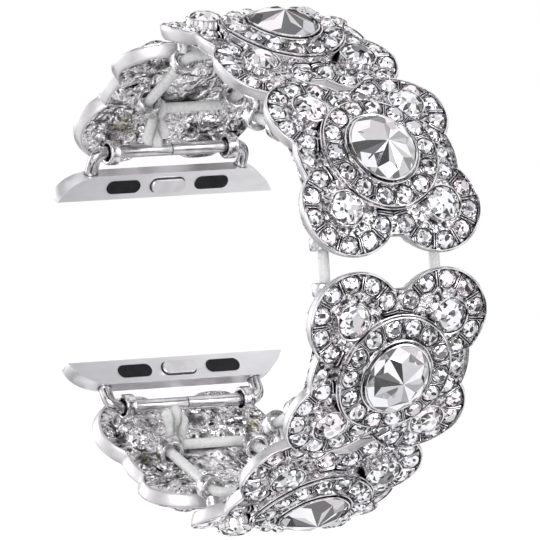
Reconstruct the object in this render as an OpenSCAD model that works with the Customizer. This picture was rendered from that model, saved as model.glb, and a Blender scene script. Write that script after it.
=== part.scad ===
// Stretch bracelet band for a small watch: six stone-set cast links on elastic
// loops, with a sliding lug adapter hinged to each end link.
// Row frame: X runs from the watch gap to the front links, Y across the band,
// Z up. The origin is the middle of the wrist space.

/* [Stones] */
// Diameter of the large stone in the middle of a link
centre_d = 8; // [7.8:0.1:8.2]
// Diameter of the four corner stones
corner_d = 3.9; // [3.7:0.1:4.0]
// Diameter of the small stones
small_d = 2.0; // [1.9:0.05:2.05]
// Small stones in the ring round the large one
ring_count = 14; // [12:1:14]
// Small stones along the edge of each lobe
lobe_count = 7; // [5:1:7]
// Angle between neighbouring small stones of a lobe, seen from the lobe's centre
lobe_step = 34.5; // [34:0.5:36]

/* [Link casting] */
// Radius of the curve that a link follows round the wrist, at its face
curve_r = 28; // [27:0.5:30]
// Direction of a corner stone, seen from the middle of the link
corner_angle = 43; // [42:0.5:44]
// Metal wall round the large stone
bezel_t = 0.4; // [0.3:0.05:0.45]
// Width of the step in the wall round the large stone
bezel_step = 0.18; // [0.1:0.02:0.2]
// Metal between the rows of stones
row_gap = 0.2; // [0.15:0.05:0.25]
// Metal lip outside the stones of a lobe
lip_t = 0.25; // [0.2:0.05:0.5]
// Distance along the band from a lobe's centre to its corner stone
corner_ahead = 0.37; // [0.3:0.01:0.45]
// Distance across the band from a lobe's centre to its corner stone
corner_aside = 0.74; // [0.65:0.01:0.8]
// Least metal between the cup of a corner stone and the seats of the lobe's stones
row_spare = 0.4; // [0.3:0.05:0.45]
// Depth of the back edge of the polished side wall below the face
wall_h = 2.2; // [2.1:0.05:2.4]
// Thickness of the side wall
wall_t = 0.65; // [0.5:0.05:0.8]
// Depth of the underside of the plate that carries the stones, below the face
plate_t = 1.7; // [1.6:0.05:1.8]
// Height of the raised ring of stones above the face
ring_h = 0.55; // [0.4:0.05:0.7]
// Depth of the channel that the lobe stones stand in
channel_h = 1.0; // [0.9:0.05:1.1]
// Height of the rim outside the lobe stones above the channel
rim_h = 0.4; // [0.3:0.05:0.5]
// Height of the metal cup round a corner stone above the channel
cup_h = 1.1; // [1:0.05:1.2]
// Thickness of the metal cup round a corner stone
cup_t = 0.18; // [0.15:0.01:0.25]
// Radius of the small openings beside each corner stone
window_r = 0.45; // [0.35:0.05:0.5]
// Angle from a corner stone to the opening towards the link's end, seen from the link's middle
window_turn_end = 20.5; // [19:0.5:21]
// Angle from a corner stone to the opening towards the link's side, seen from the link's middle
window_turn_side = 17; // [16.5:0.25:17.5]
// Radius of the opening between the lobes of a side
side_window_r = 0.6; // [0.5:0.05:0.7]
// Distance of the side openings from the middle of the link
side_window_y = 8.35; // [8.2:0.05:8.5]
// Free space round a stone in its seat
seat_gap = 0.03; // [0.02:0.01:0.05]
// Least space between the seat of a lobe stone and the metal wall beside it
wall_gap = 0.06; // [0.04:0.01:0.1]

/* [Elastic and eyes] */
// Diameter of the clear elastic cord
cord_d = 1.2; // [1:0.05:1.3]
// Bore of the eyes that hold the cord
eye_bore = 1.9; // [1.8:0.05:2]
// Wall thickness of an eye
eye_wall = 0.5; // [0.4:0.05:0.6]
// Length of an eye along the band
eye_len = 1.5; // [1.3:0.1:1.7]
// Drop of the eyes of the four inner links below the face
eye_drop = 4.9; // [4.8:0.05:5.1]
// Distance of the inner links' eyes from the middle of the band's width
eye_y = 6.9; // [6.5:0.1:7.1]
// Distance of the second and fifth links' eyes from the middle of the link, front side
eye_reach_side = 10.6; // [10.2:0.1:10.8]
// Distance of the second and fifth links' eyes from the middle of the link, far side
eye_reach_far = 9.9; // [9.5:0.1:10]
// Distance of the two front links' eyes from the middle of the link
eye_reach_front = 9.2; // [8.8:0.1:9.3]
// Drop of an end link's eyes below the face
end_eye_drop = 3.6; // [3.5:0.05:3.9]
// Distance of an end link's eyes from the middle of the band's width
end_eye_y = 5.4; // [5.2:0.1:5.8]
// Distance of an end link's eyes from the middle of the link, towards its neighbour
end_eye_reach = 0.4; // [0:0.1:1]

/* [Loop of links] */
// X of the centre of the front links' curve
front_x = -1.45; // [-2:0.05:-1]
// Angle of the upper front link above the X axis, seen from its curve's centre
front_angle = 30.6; // [30:0.1:31]
// Gap between the two front links at the face
front_gap = 1.7; // [1.6:0.1:2]
// Gap between a front link and its neighbour along the band
side_gap = 0.3; // [0.25:0.05:0.6]
// Inward step from a front link to its neighbour
side_step = 2.1; // [2:0.05:2.2]
// Bend between a front link and its neighbour
side_bend = -12; // [-12.5:0.25:-11]
// Gap between an end link and its neighbour along the band
end_gap = 0.8; // [0.75:0.05:1.1]
// Inward step from its neighbour to an end link
end_step = 1.95; // [1.9:0.05:2.1]
// Bend between an end link and its neighbour
end_bend = 7; // [6.5:0.25:8]

/* [Lug adapter] */
// Distance of the adapter's hinge axis from the middle of the end link
hinge_reach = 8.1; // [7.8:0.1:8.4]
// Drop of the adapter's hinge axis below the end link's face
hinge_drop = 4.2; // [4.1:0.1:4.6]
// Distance of the end link's two hinge loops from the middle of the band's width
loop_y = 7.5; // [7.3:0.1:7.8]
// Width of a hinge loop across the band
loop_w = 1.3; // [1.1:0.1:1.5]
// Bore of a hinge loop
loop_bore = 1.9; // [1.85:0.05:2]
// Wall thickness of a hinge loop
loop_wall = 0.5; // [0.45:0.05:0.6]
// Diameter of the bright bent horns
horn_d = 1.4; // [1.3:0.05:1.45]
// Bend radius of a horn
horn_bend = 1.3; // [1.1:0.1:1.5]
// Diameter of the two sleeves between the hinge loops
sleeve_d = 1.45; // [1.4:0.05:1.6]
// Diameter of the pin inside the sleeves
pin_d = 0.8; // [0.7:0.05:0.9]
// Depth of the pin in each horn
pin_hold = 0.9; // [0.7:0.1:1.1]
// Seam between the two sleeves
seam_t = 0.1; // [0.06:0.02:0.2]
// Running gap between sliding and turning faces
run_gap = 0.05; // [0.04:0.01:0.08]
// Tilt of the adapter from upright, its foot towards the watch
lug_tilt = 30; // [28:0.5:32]
// Distance from the hinge axis down to the lug's top edge
lug_below = 2.45; // [2.4:0.05:2.6]
// Height of the lug's face
lug_h = 3.0; // [2.9:0.1:3.2]
// Thickness of the lug
lug_t = 2.0; // [1.9:0.05:2.1]
// Length of the straight part of the lug's top edge
lug_top_l = 17.6; // [17.2:0.2:18.4]
// Radius of the lug's curved ends
lug_end_r = 5.4; // [5:0.1:6]
// Radius of the lug's rounded outer side
lug_back_r = 3.2; // [3:0.1:3.6]
// Spacing of the pads and the lock button along the lug
pad_pitch = 5.6; // [5.4:0.1:5.8]
// Length of a rubber pad
pad_l = 4.2; // [4:0.1:4.4]
// Height of a rubber pad
pad_w = 1.5; // [1.3:0.1:1.6]
// Depth of the pocket that a pad sits in
pad_pocket = 0.5; // [0.4:0.05:0.6]
// How far a pad stands out of the lug's face
pad_proud = 0.12; // [0.08:0.02:0.2]
// How far the lock button stands out of the lug's face
button_proud = 0.45; // [0.4:0.05:0.55]
// Travel of the lock button when it is pressed
button_travel = 0.4; // [0.3:0.05:0.4]
// Depth of the lock button's pocket
button_pocket = 1.3; // [1.25:0.05:1.4]
// Thickness of the leaf spring behind the lock button
leaf_t = 0.12; // [0.1:0.02:0.16]

/* [Hidden] */
round_fn = 48;
small_sides = 8;
corner_sides = 12;
centre_sides = 16;
eps = 0.01;
bend_thinner = 0.06;
bend_lap = 0.15;

// Rows of stones and the outline that follows from them
ring_path_r = centre_d / 2 + bezel_t + row_gap + small_d / 2;
ring_out_r = ring_path_r + small_d / 2 + row_gap;
corner_r = ring_out_r + row_gap / 2 + corner_d / 2;
corner_x = corner_r * cos(corner_angle);
corner_y = corner_r * sin(corner_angle);
lobe_x = corner_x - corner_ahead;
lobe_y = corner_y - corner_aside;
seat_r = small_d / 2 + seat_gap;
lobe_path_r = norm([corner_ahead, corner_aside]) + corner_d / 2 + cup_t + row_spare + seat_r;
lobe_r = lobe_path_r + seat_r + wall_gap + lip_t;
lobe_span = lobe_step * (lobe_count - 1) / 2;
end_stones = [for (b = [corner_angle - lobe_span, corner_angle + lobe_span])
    norm([lobe_x, lobe_y] + lobe_path_r * [cos(b), sin(b)])];
body_r = max(end_stones) + seat_r + wall_gap + lip_t;
window_space = 0.35;
window_reach = ring_out_r + window_space + window_r;
half_len = lobe_x + lobe_r;
half_angle = half_len / curve_r * 180 / PI;

// Heights above the face
rim_top = rim_h - channel_h;
post_root = plate_t - 0.3;
post_inset = 0.6;
post_thinner = 0.1;
small_girdle = 0.45;
small_crown = 0.45;
corner_base = -1.7;
corner_girdle = [-0.15, 0.05];
corner_top = 0.7;
centre_base = -1.6;
centre_girdle = [0.75, 1];
centre_top = 2.45;
bezel_top = centre_girdle[1] + 0.15;
bezel_step_h = 0.35;
back_wall = 0.35;

// Poses of the three upper links: the curve's centre in X and Z, and the angle
function dir(a) = [cos(a), sin(a)];
function next_pose(pose, gap, step, bend) =
    let (a1 = pose[1] + half_angle, a2 = a1 + bend, m = (a1 + a2) / 2,
        start = pose[0] + curve_r * dir(a1) + gap * dir(m + 90) - step * dir(m))
    [start - curve_r * dir(a2), a2 + half_angle];
pose_3 = [[front_x, front_gap / 2 - curve_r * sin(front_angle - half_angle)], front_angle];
pose_2 = next_pose(pose_3, side_gap, side_step, side_bend);
pose_1 = next_pose(pose_2, end_gap, end_step, end_bend);
function on_link(pose, reach, drop) =
    pose[0] + (curve_r - drop) * dir(pose[1] + reach / curve_r * 180 / PI);

// Eye places in X and Z, the low-angle side first
eye_3_low = on_link(pose_3, -eye_reach_front, eye_drop);
eye_3_high = on_link(pose_3, eye_reach_front, eye_drop);
eye_2_low = on_link(pose_2, -eye_reach_side, eye_drop);
eye_2_high = on_link(pose_2, eye_reach_far, eye_drop);
eye_1_low = on_link(pose_1, -end_eye_reach, end_eye_drop);
function heading(a, b) = atan2(b[1] - a[1], b[0] - a[0]);
head_34 = 90;
head_23 = heading(eye_3_high, eye_2_low);
head_12 = heading(eye_2_high, eye_1_low);
hinge = on_link(pose_1, hinge_reach, hinge_drop);

// Lug places in the adapter's own frame: its face looks along +X and its hinge axis is Y
lug_top = -lug_below;
lug_tip = -lug_below - lug_h;
lug_face = lug_t / 2;
pad_z = (lug_top + lug_tip) / 2;
neck_end = loop_y - loop_w / 2 - run_gap;
horn_y = loop_y + loop_w / 2 + run_gap + horn_bend;
horn_sink = 1.3;

// Leaf spring behind the lock button
leaf_l = pad_l - pad_w;
leaf_rise = button_travel + leaf_t + run_gap;
leaf_bow = leaf_rise - leaf_t;
leaf_arch_r = (leaf_l * leaf_l / 4 + leaf_bow * leaf_bow) / (2 * leaf_bow);

// Frames

module link_frame(i) {
    pose = i == 1 || i == 6 ? pose_1 : i == 2 || i == 5 ? pose_2 : pose_3;
    mirror([0, 0, i > 3 ? 1 : 0])
        translate([pose[0][0], 0, pose[0][1]])
            rotate([0, 90 - pose[1], 0])
                children();
}

module upper_half(i) {
    mirror([0, 0, i > 3 ? 1 : 0])
        children();
}

// Inside link_frame: stand at a distance s along the curve towards the front, y across
// and h above the face
module at(s, y, h) {
    rotate([0, s / curve_r * 180 / PI, 0])
        translate([0, y, curve_r + h])
            children();
}

module adapter_frame(lower) {
    mirror([0, 0, lower ? 1 : 0])
        translate([hinge[0], 0, hinge[1]])
            rotate([0, lug_tilt, 0])
                children();
}

// Link pieces

module curved_layer(low, high) {
    rotate([90, 0, 0])
        difference() {
            cylinder(r = curve_r + high, h = 30, center = true, $fn = 96);
            cylinder(r = curve_r + low, h = 32, center = true, $fn = 96);
        }
}

module outline(inset) {
    for (sx = [-1, 1], sy = [-1, 1])
        at(sx * lobe_x, sy * lobe_y, -6)
            cylinder(r = lobe_r - inset, h = 9, $fn = round_fn);
    at(0, 0, -6)
        cylinder(r = body_r - inset, h = 9, $fn = round_fn);
}

module at_corners() {
    for (sx = [-1, 1], sy = [-1, 1])
        at(sx * corner_x, sy * corner_y, 0)
            children();
}

module at_ring() {
    for (k = [0 : ring_count - 1])
        let (a = (k + 0.5) * 360 / ring_count)
            at(ring_path_r * cos(a), ring_path_r * sin(a), ring_h - 0.05)
                rotate(a)
                    children();
}

module at_lobes() {
    for (sx = [-1, 1], sy = [-1, 1])
        for (k = [-(lobe_count - 1) / 2 : (lobe_count - 1) / 2])
            let (b = corner_angle + k * lobe_step, u = lobe_path_r * cos(b), v = lobe_path_r * sin(b))
                at(sx * (lobe_x + u), sy * (lobe_y + v), -channel_h + 0.1)
                    rotate(atan2(sy * v, sx * u))
                        children();
}

// Stones are drawn with the top of the girdle at height 0
module small_seat() {
    translate([0, 0, -small_girdle - seat_gap])
        cylinder(r = seat_r, h = small_girdle + 2, $fn = small_sides);
}

module small_stone() {
    translate([0, 0, -small_girdle])
        cylinder(d = small_d, h = small_girdle, $fn = small_sides);
    translate([0, 0, -eps])
        cylinder(d1 = small_d * cos(180 / small_sides), d2 = small_d * 0.5, h = small_crown + eps,
            $fn = round_fn);
}

module corner_stone() {
    translate([0, 0, corner_base])
        cylinder(d1 = corner_d * 0.45, d2 = corner_d, h = corner_girdle[0] - corner_base,
            $fn = corner_sides);
    translate([0, 0, corner_girdle[0]])
        cylinder(d = corner_d, h = corner_girdle[1] - corner_girdle[0], $fn = corner_sides);
    translate([0, 0, corner_girdle[1]])
        cylinder(d1 = corner_d, d2 = corner_d * 0.55, h = corner_top - corner_girdle[1],
            $fn = corner_sides);
}

function circle_points(n, r, z, turn) =
    [for (k = [0 : n - 1]) [r * cos(k * 360 / n + turn), r * sin(k * 360 / n + turn), z]];

// A large stone with eight broad facets meeting in the middle over sixteen girdle facets
module centre_stone() {
    n = centre_sides;
    low = circle_points(n, centre_d * 0.3, centre_base, 0);
    waist = circle_points(n, centre_d / 2, centre_girdle[0], 0);
    brow = circle_points(n, centre_d / 2, centre_girdle[1], 0);
    star = circle_points(n / 2, centre_d * 0.29, centre_top - 0.3, 180 / n);
    points = concat(low, waist, brow, star, [[0, 0, centre_top]]);
    sides = [for (ring = [0, n], k = [0 : n - 1])
        [ring + k, ring + (k + 1) % n, ring + n + (k + 1) % n, ring + n + k]];
    crown = [for (k = [0 : n / 2 - 1]) each [
        [2 * n + 2 * k, 2 * n + 2 * k + 1, 3 * n + k],
        [2 * n + 2 * k + 1, 2 * n + (2 * k + 2) % n, 3 * n + k],
        [2 * n + (2 * k + 2) % n, 3 * n + (k + 1) % (n / 2), 3 * n + k],
        [3 * n + k, 3 * n + (k + 1) % (n / 2), 3 * n + n / 2]]];
    faces = concat([[for (k = [0 : n - 1]) n - 1 - k]], sides, crown);
    polyhedron(points = points, faces = [for (f = faces) [for (k = [len(f) - 1 : -1 : 0]) f[k]]]);
}

// A tube eye with its post, in X and Z at p, its bore along the heading
module eye(p, y, head, post_to) {
    for (side = [-1, 1])
        translate([p[0], side * y, p[1]])
            rotate([0, 90 - head, 0])
                cylinder(d = eye_bore + 2 * eye_wall, h = eye_len, center = true, $fn = round_fn);
    for (side = [-1, 1])
        translate([p[0], side * y, p[1]])
            rotate([0, 90 - heading(p, post_to), 0])
                translate([0, 0, eye_bore / 2])
                    cylinder(d = eye_len, h = norm(post_to - p) - eye_bore / 2, $fn = round_fn);
}

module eye_bores(p, y, head) {
    for (side = [-1, 1])
        translate([p[0], side * y, p[1]])
            rotate([0, 90 - head, 0])
                cylinder(d = eye_bore, h = eye_len + 4, center = true, $fn = round_fn);
}

module hinge_loops() {
    for (side = [-1, 1])
        translate([hinge[0], side * loop_y, hinge[1]])
            rotate([90, 0, 0])
                cylinder(d = loop_bore + 2 * loop_wall, h = loop_w, center = true, $fn = round_fn);
    root = on_link(pose_1, hinge_reach, post_root);
    for (side = [-1, 1])
        translate([hinge[0], side * loop_y, hinge[1]])
            rotate([0, 90 - heading(hinge, root), 0])
                translate([0, 0, loop_bore / 2])
                    cylinder(d = loop_w - post_thinner, h = norm(root - hinge) - loop_bore / 2,
                        $fn = round_fn);
}

module hinge_bores() {
    translate([hinge[0], 0, hinge[1]])
        rotate([90, 0, 0])
            cylinder(d = loop_bore, h = 2 * loop_y + 2 * loop_w, center = true, $fn = round_fn);
}

module link_blank() {
    difference() {
        intersection() {
            curved_layer(-wall_h, rim_top);
            outline(0);
        }
        intersection() {
            curved_layer(-wall_h - 2, -plate_t);
            outline(wall_t);
        }
        intersection() {
            curved_layer(-channel_h, rim_top + 2);
            outline(lip_t);
        }
    }
}

module link_cups() {
    intersection() {
        curved_layer(-plate_t, ring_h);
        at(0, 0, -4)
            cylinder(r = ring_out_r, h = 8, $fn = round_fn);
    }
    at(0, 0, -plate_t)
        cylinder(d = centre_d + 2 * bezel_t, h = plate_t + bezel_top - bezel_step_h, $fn = round_fn);
    at(0, 0, 0)
        cylinder(d = centre_d + 2 * bezel_t - 2 * bezel_step, h = bezel_top, $fn = round_fn);
    at(0, 0, centre_base - back_wall)
        cylinder(d = centre_d + 2 * bezel_t, h = back_wall - centre_base, $fn = round_fn);
    at_corners()
        translate([0, 0, corner_base - back_wall])
            cylinder(d = corner_d + 2 * cup_t, h = cup_h - channel_h - corner_base + back_wall,
                $fn = round_fn);
}

module link_cuts() {
    at(0, 0, centre_base - seat_gap)
        cylinder(d = centre_d + 2 * seat_gap, h = 4, $fn = round_fn);
    at_corners()
        translate([0, 0, corner_base - seat_gap])
            cylinder(d = corner_d + 2 * seat_gap, h = 4, $fn = corner_sides);
    at_ring()
        small_seat();
    at_lobes()
        small_seat();
    for (sx = [-1, 1], sy = [-1, 1])
        for (b = [corner_angle - window_turn_end, corner_angle + window_turn_side])
            at(sx * window_reach * cos(b), sy * window_reach * sin(b), -4)
                cylinder(r = window_r, h = 8, $fn = round_fn);
    for (sy = [-1, 1])
        at(0, sy * side_window_y, -4)
            cylinder(r = side_window_r, h = 8, $fn = round_fn);
}

module casting(i) {
    upper = i > 3 ? 7 - i : i;
    color("silver")
        difference() {
            union() {
                link_frame(i) {
                    link_blank();
                    link_cups();
                }
                upper_half(i) {
                    if (upper == 1) {
                        eye(eye_1_low, end_eye_y, head_12, on_link(pose_1, -end_eye_reach, post_root));
                        hinge_loops();
                    }
                    if (upper == 2) {
                        eye(eye_2_low, eye_y, head_23,
                            on_link(pose_2, -eye_reach_side + post_inset, post_root));
                        eye(eye_2_high, eye_y, head_12,
                            on_link(pose_2, eye_reach_far - post_inset, post_root));
                    }
                    if (upper == 3) {
                        eye(eye_3_low, eye_y, head_34, on_link(pose_3, -eye_reach_front, post_root));
                        eye(eye_3_high, eye_y, head_23, on_link(pose_3, eye_reach_front, post_root));
                    }
                }
            }
            link_frame(i)
                link_cuts();
            upper_half(i) {
                if (upper == 1) {
                    eye_bores(eye_1_low, end_eye_y, head_12);
                    hinge_bores();
                }
                if (upper == 2) {
                    eye_bores(eye_2_low, eye_y, head_23);
                    eye_bores(eye_2_high, eye_y, head_12);
                }
                if (upper == 3) {
                    eye_bores(eye_3_low, eye_y, head_34);
                    eye_bores(eye_3_high, eye_y, head_23);
                }
            }
        }
}

module large_stone(i) {
    color("gainsboro")
        link_frame(i)
            at(0, 0, 0)
                centre_stone();
}

module corner_stones(i) {
    color("lightgray")
        link_frame(i)
            at_corners()
                corner_stone();
}

module small_stones(i) {
    color("whitesmoke")
        link_frame(i) {
            at_ring()
                small_stone();
            at_lobes()
                small_stone();
        }
}

// Elastic loops

function unit(v) = v / norm(v);
function turn_at(a, b, c) =
    let (u = unit(b - a), v = unit(c - b))
    atan2(u[0] * v[1] - u[1] * v[0], u * v);

// A closed tube through the corner points of a flat outline, with round bends. The straight
// lengths are a touch thicker than the bends and reach into them.
module tube_loop(points, bend, d) {
    n = len(points);
    for (i = [0 : n - 1]) {
        a = points[(i + n - 1) % n];
        b = points[i];
        c = points[(i + 1) % n];
        e = points[(i + 2) % n];
        turn = turn_at(a, b, c);
        back = bend * tan(turn / 2);
        ahead = bend * tan(turn_at(b, c, e) / 2);
        u = unit(b - a);
        v = unit(c - b);
        centre = b - back * u + bend * [-u[1], u[0]];
        start = b + back * v;
        translate([centre[0], centre[1], 0])
            rotate(atan2(u[1], u[0]) - 90)
                rotate_extrude(angle = turn, $fn = round_fn)
                    translate([bend, 0])
                        circle(d = d - bend_thinner, $fn = round_fn);
        translate([start[0], start[1], 0])
            rotate([0, 90, atan2(v[1], v[0])])
                translate([0, 0, -bend_lap])
                    cylinder(d = d, h = norm(c - b) - back - ahead + 2 * bend_lap, $fn = round_fn);
    }
}

// The loop runs through two pairs of eyes: p and q in X and Z, at the distances yp and yq
module elastic(i, p, yp, q, yq) {
    head = heading(p, q);
    reach = norm(q - p);
    over = eye_len / 2 + cord_d;
    slope = (yq - yp) / reach;
    y0 = yp - slope * over;
    y1 = yq + slope * over;
    color("aliceblue")
        upper_half(i)
            translate([p[0], 0, p[1]])
                rotate([0, -head, 0])
                    tube_loop([[-over, -y0], [reach + over, -y1], [reach + over, y1], [-over, y0]],
                        cord_d, cord_d);
}

// Adapter pieces, in the adapter's own frame

module pill(l, w, h) {
    rotate([0, 90, 0]) {
        translate([-w / 2, -(l - w) / 2, 0])
            cube([w, l - w, h]);
        for (side = [-1, 1])
            translate([0, side * (l - w) / 2, 0])
                cylinder(d = w, h = h, $fn = round_fn);
    }
}

module lug(lower) {
    color("lightsteelblue")
        adapter_frame(lower)
            difference() {
                intersection() {
                    translate([lug_face - lug_t, -20, lug_tip])
                        cube([lug_t, 40, lug_h]);
                    translate([lug_face - lug_t + lug_back_r, 0, pad_z])
                        rotate([90, 0, 0])
                            cylinder(r = lug_back_r, h = 40, center = true, $fn = 96);
                    union() {
                        translate([-10, -lug_top_l / 2, lug_top - 2 * lug_end_r])
                            cube([20, lug_top_l, 2 * lug_end_r]);
                        for (side = [-1, 1])
                            translate([-10, side * lug_top_l / 2, lug_top - lug_end_r])
                                rotate([0, 90, 0])
                                    cylinder(r = lug_end_r, h = 20, $fn = 96);
                    }
                }
                for (side = [-1, 1])
                    translate([lug_face - pad_pocket, side * pad_pitch, pad_z])
                        pill(pad_l + 2 * seat_gap, pad_w + 2 * seat_gap, pad_pocket + 1);
                translate([lug_face - button_pocket, 0, pad_z])
                    pill(pad_l + 2 * run_gap, pad_w + 2 * run_gap, button_pocket + 1);
                for (side = [-1, 1])
                    translate([0, side * horn_y, lug_top - horn_sink - seat_gap])
                        cylinder(d = horn_d + 2 * seat_gap, h = horn_sink + 3, $fn = round_fn);
            }
}

module horn(lower, side) {
    color("gainsboro")
        adapter_frame(lower)
            difference() {
                union() {
                    translate([0, side * horn_y, lug_top - horn_sink])
                        cylinder(d = horn_d, h = horn_sink - lug_top - horn_bend, $fn = round_fn);
                    translate([0, side * (horn_y - horn_bend), -horn_bend])
                        rotate([90, 0, 90])
                            mirror([side < 0 ? 1 : 0, 0, 0])
                                rotate_extrude(angle = 90, $fn = round_fn)
                                    translate([horn_bend, 0])
                                        circle(d = horn_d, $fn = round_fn);
                    translate([0, side * (neck_end + horn_y - horn_bend) / 2, 0])
                        rotate([90, 0, 0])
                            cylinder(d = horn_d, h = horn_y - horn_bend - neck_end, center = true,
                                $fn = round_fn);
                }
                translate([0, side * neck_end, 0])
                    rotate([90, 0, 0])
                        cylinder(d = pin_d + 2 * seat_gap, h = 2 * (pin_hold + seat_gap), center = true,
                            $fn = round_fn);
            }
}

module pin(lower) {
    color("gray")
        adapter_frame(lower)
            rotate([90, 0, 0])
                cylinder(d = pin_d, h = 2 * (neck_end + pin_hold), center = true, $fn = round_fn);
}

module sleeve(lower, side) {
    len = neck_end - seat_gap - seam_t / 2;
    color("silver")
        adapter_frame(lower)
            translate([0, side * (seam_t / 2 + len / 2), 0])
                rotate([90, 0, 0])
                    difference() {
                        cylinder(d = sleeve_d, h = len, center = true, $fn = round_fn);
                        cylinder(d = pin_d + 2 * seat_gap, h = len + 1, center = true, $fn = round_fn);
                    }
}

module pad(lower, side) {
    color("black")
        adapter_frame(lower)
            translate([lug_face - pad_pocket + seat_gap, side * pad_pitch, pad_z])
                pill(pad_l, pad_w, pad_pocket - seat_gap + pad_proud);
}

module lock_button(lower) {
    foot = lug_face - button_pocket + leaf_rise + run_gap;
    color("lightgray")
        adapter_frame(lower)
            translate([foot, 0, pad_z])
                pill(pad_l, pad_w, lug_face + button_proud - foot);
}

// An arched leaf spring on the floor of the lock button's pocket
module lock_spring(lower) {
    color("dimgray")
        adapter_frame(lower)
            translate([lug_face - button_pocket + seat_gap, 0, pad_z])
                intersection() {
                    translate([leaf_rise - leaf_arch_r - leaf_t, 0, 0])
                        difference() {
                            cylinder(r = leaf_arch_r + leaf_t, h = pad_w * 0.6, center = true, $fn = 96);
                            cylinder(r = leaf_arch_r, h = pad_w, center = true, $fn = 96);
                        }
                    translate([0, -leaf_l / 2, -pad_w / 2])
                        cube([leaf_rise + 1, leaf_l, pad_w]);
                }
}

casting(1);  // link_1_casting
large_stone(1);  // link_1_centre_stone
corner_stones(1);  // link_1_corner_stones
small_stones(1);  // link_1_small_stones
casting(2);  // link_2_casting
large_stone(2);  // link_2_centre_stone
corner_stones(2);  // link_2_corner_stones
small_stones(2);  // link_2_small_stones
casting(3);  // link_3_casting
large_stone(3);  // link_3_centre_stone
corner_stones(3);  // link_3_corner_stones
small_stones(3);  // link_3_small_stones
casting(4);  // link_4_casting
large_stone(4);  // link_4_centre_stone
corner_stones(4);  // link_4_corner_stones
small_stones(4);  // link_4_small_stones
casting(5);  // link_5_casting
large_stone(5);  // link_5_centre_stone
corner_stones(5);  // link_5_corner_stones
small_stones(5);  // link_5_small_stones
casting(6);  // link_6_casting
large_stone(6);  // link_6_centre_stone
corner_stones(6);  // link_6_corner_stones
small_stones(6);  // link_6_small_stones
elastic(1, eye_1_low, end_eye_y, eye_2_high, eye_y);  // elastic_1_2
elastic(2, eye_2_low, eye_y, eye_3_high, eye_y);  // elastic_2_3
elastic(3, eye_3_low, eye_y, [eye_3_low[0], -eye_3_low[1]], eye_y);  // elastic_3_4
elastic(5, eye_2_low, eye_y, eye_3_high, eye_y);  // elastic_4_5
elastic(6, eye_1_low, end_eye_y, eye_2_high, eye_y);  // elastic_5_6
lug(false);  // upper_lug
horn(false, -1);  // upper_horn_left
horn(false, 1);  // upper_horn_right
pin(false);  // upper_pin
sleeve(false, -1);  // upper_sleeve_left
sleeve(false, 1);  // upper_sleeve_right
pad(false, -1);  // upper_pad_left
pad(false, 1);  // upper_pad_right
lock_button(false);  // upper_lock_button
lock_spring(false);  // upper_lock_spring
lug(true);  // lower_lug
horn(true, -1);  // lower_horn_left
horn(true, 1);  // lower_horn_right
pin(true);  // lower_pin
sleeve(true, -1);  // lower_sleeve_left
sleeve(true, 1);  // lower_sleeve_right
pad(true, -1);  // lower_pad_left
pad(true, 1);  // lower_pad_right
lock_button(true);  // lower_lock_button
lock_spring(true);  // lower_lock_spring
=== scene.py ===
# Looks of a stretch bracelet band: stone-set cast links on elastic loops, with a lug
# adapter hinged to each end. Sizes are millimetres until a mesh is made, in the row frame:
# X from the watch gap to the front links, Y across the band, Z up.

import math
import random

import bpy
import numpy as np
from mathutils import Matrix, Vector, geometry, noise


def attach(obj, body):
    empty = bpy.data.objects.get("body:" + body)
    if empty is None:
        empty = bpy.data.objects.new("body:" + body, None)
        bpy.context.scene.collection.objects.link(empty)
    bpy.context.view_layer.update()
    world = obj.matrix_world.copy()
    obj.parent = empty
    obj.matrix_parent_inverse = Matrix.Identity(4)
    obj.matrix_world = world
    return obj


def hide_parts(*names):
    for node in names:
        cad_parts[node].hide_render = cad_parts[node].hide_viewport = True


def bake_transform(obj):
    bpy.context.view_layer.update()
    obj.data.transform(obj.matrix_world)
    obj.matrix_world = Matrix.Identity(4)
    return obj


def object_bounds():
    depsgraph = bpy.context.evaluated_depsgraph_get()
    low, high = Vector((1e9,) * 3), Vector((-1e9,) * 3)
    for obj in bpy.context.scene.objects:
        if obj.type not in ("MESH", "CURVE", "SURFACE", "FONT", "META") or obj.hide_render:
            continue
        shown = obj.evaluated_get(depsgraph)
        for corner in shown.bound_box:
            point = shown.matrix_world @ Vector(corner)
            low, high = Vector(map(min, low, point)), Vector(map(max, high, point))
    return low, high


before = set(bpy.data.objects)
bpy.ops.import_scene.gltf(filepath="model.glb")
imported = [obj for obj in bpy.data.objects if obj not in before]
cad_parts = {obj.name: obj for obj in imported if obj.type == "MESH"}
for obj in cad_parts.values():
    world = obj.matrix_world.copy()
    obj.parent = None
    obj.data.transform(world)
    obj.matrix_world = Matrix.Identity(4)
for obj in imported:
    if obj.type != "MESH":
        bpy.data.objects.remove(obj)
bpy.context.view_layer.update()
MM = 0.001
LINKS = range(1, 7)
SIDES = (-1, 1)

# Stones
CENTRE_D = 8.0
CORNER_D = 3.9
SMALL_D = 2.0
RING_COUNT = 14
LOBE_COUNT = 7
LOBE_STEP = 34.5

# Link casting
CURVE_R = 28.0
CORNER_ANGLE = 43.0
BEZEL_T = 0.4
ROW_GAP = 0.2
LIP_T = 0.25
CORNER_AHEAD = 0.37
CORNER_ASIDE = 0.74
ROW_SPARE = 0.4
WALL_H = 2.2
WALL_T = 0.65
PLATE_T = 1.7
RING_H = 0.55
CHANNEL_H = 1.0
RIM_H = 0.4
CUP_H = 1.1
CUP_T = 0.18
SEAT_GAP = 0.03
WALL_GAP = 0.06
RIM_TOP = RIM_H - CHANNEL_H
BEZEL_TOP = 1.15
CORNER_BACK = 2.05
CENTRE_BACK = 1.95
WINDOW_R = 0.45
WINDOW_TURNS = (-20.5, 17.0)
SIDE_WINDOW_R = 0.6
SIDE_WINDOW_Y = 8.35

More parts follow.
